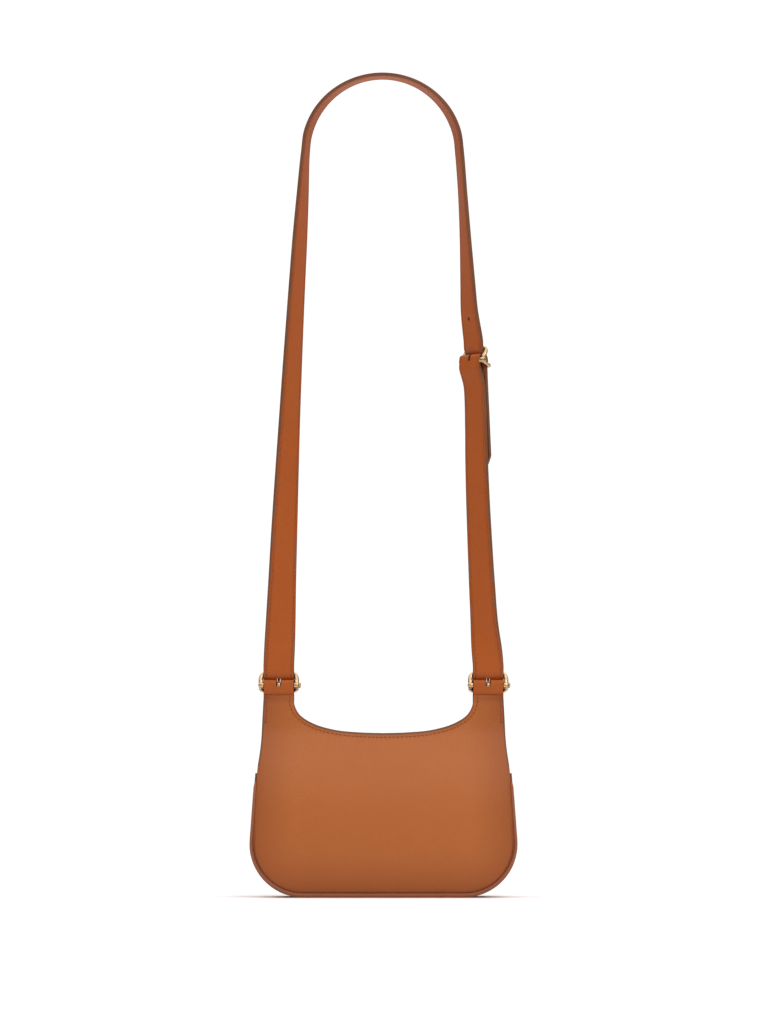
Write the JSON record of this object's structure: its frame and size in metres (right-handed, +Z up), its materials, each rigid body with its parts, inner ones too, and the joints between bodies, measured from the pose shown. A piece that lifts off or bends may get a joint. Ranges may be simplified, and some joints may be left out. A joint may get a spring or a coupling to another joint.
{
  "type": "sling bag",
  "caption": "Small leather sling bag with a plain curved back, scooped top between two ears, front flap and a long adjustable strap on pin buckles.",
  "frame": {"origin": "centre of the flat base, on the surface that the bag touches", "axes": "+X to the right as seen from the plain back, +Y from the back towards the flap, +Z up along the strap"},
  "size_m": [0.1814, 0.0573, 0.5635],
  "materials": {
    "panel_leather": "smooth tan calf leather, soft sheen",
    "strap_leather": "smooth tan calf leather, stitched, painted edges",
    "piping_leather": "smooth tan leather rolled over a cord",
    "lining_cloth": "brown twill lining",
    "stiff_board": "bonded board",
    "buckle_metal": "polished pale gold",
    "snap_metal": "brushed"
  },
  "bodies": {
    "strap": {"long_strap": "strap_leather", "short_strap": "strap_leather", "left_buckle_frame": "buckle_metal", "left_buckle_bar": "buckle_metal", "right_buckle_frame": "buckle_metal", "right_buckle_bar": "buckle_metal", "strap_buckle_frame": "buckle_metal", "strap_buckle_bar": "buckle_metal"},
    "bag": {"back_panel": "panel_leather", "front_panel": "panel_leather", "gusset": "panel_leather", "flap_yoke": "panel_leather", "left_bar_tab": "strap_leather", "right_bar_tab": "strap_leather", "back_piping": "piping_leather", "front_piping": "piping_leather", "back_lining": "lining_cloth", "front_lining": "lining_cloth", "gusset_lining": "lining_cloth", "slip_pocket": "lining_cloth", "back_stiffener": "stiff_board", "base_board": "stiff_board", "top_core": "stiff_board", "snap_socket": "snap_metal", "snap_socket_washer": "snap_metal"},
    "flap": {"flap": "panel_leather", "flap_lining": "lining_cloth", "snap_magnet": "snap_metal", "snap_magnet_washer": "snap_metal"},
    "left_prong": {"left_buckle_prong": "buckle_metal"},
    "right_prong": {"right_buckle_prong": "buckle_metal"},
    "strap_prong": {"strap_buckle_prong": "buckle_metal"}
  },
  "joints": [
    {"name": "bag_swing", "type": "hinge", "parent": "strap", "child": "bag", "pos_m": [0, 0, 0.1438], "axis": [1, 0, 0], "range_deg": [-100, 3]},
    {"name": "flap_hinge", "type": "hinge", "parent": "bag", "child": "flap", "pos_m": [0, 0.0019, 0.1077], "axis": [1, 0, 0], "range_deg": [0, 90]},
    {"name": "left_prong_hinge", "type": "hinge", "parent": "strap", "child": "left_prong", "pos_m": [-0.0715, 0, 0.1438], "axis": [-1, 0, 0], "range_deg": [0, 20]},
    {"name": "right_prong_hinge", "type": "hinge", "parent": "strap", "child": "right_prong", "pos_m": [0.0715, 0, 0.1438], "axis": [-1, 0, 0], "range_deg": [0, 20]},
    {"name": "strap_prong_hinge", "type": "hinge", "parent": "strap", "child": "strap_prong", "pos_m": [0.0608, 0.001, 0.366], "axis": [-0.5592, 0.829, 0], "range_deg": [0, 20]}
  ]
}
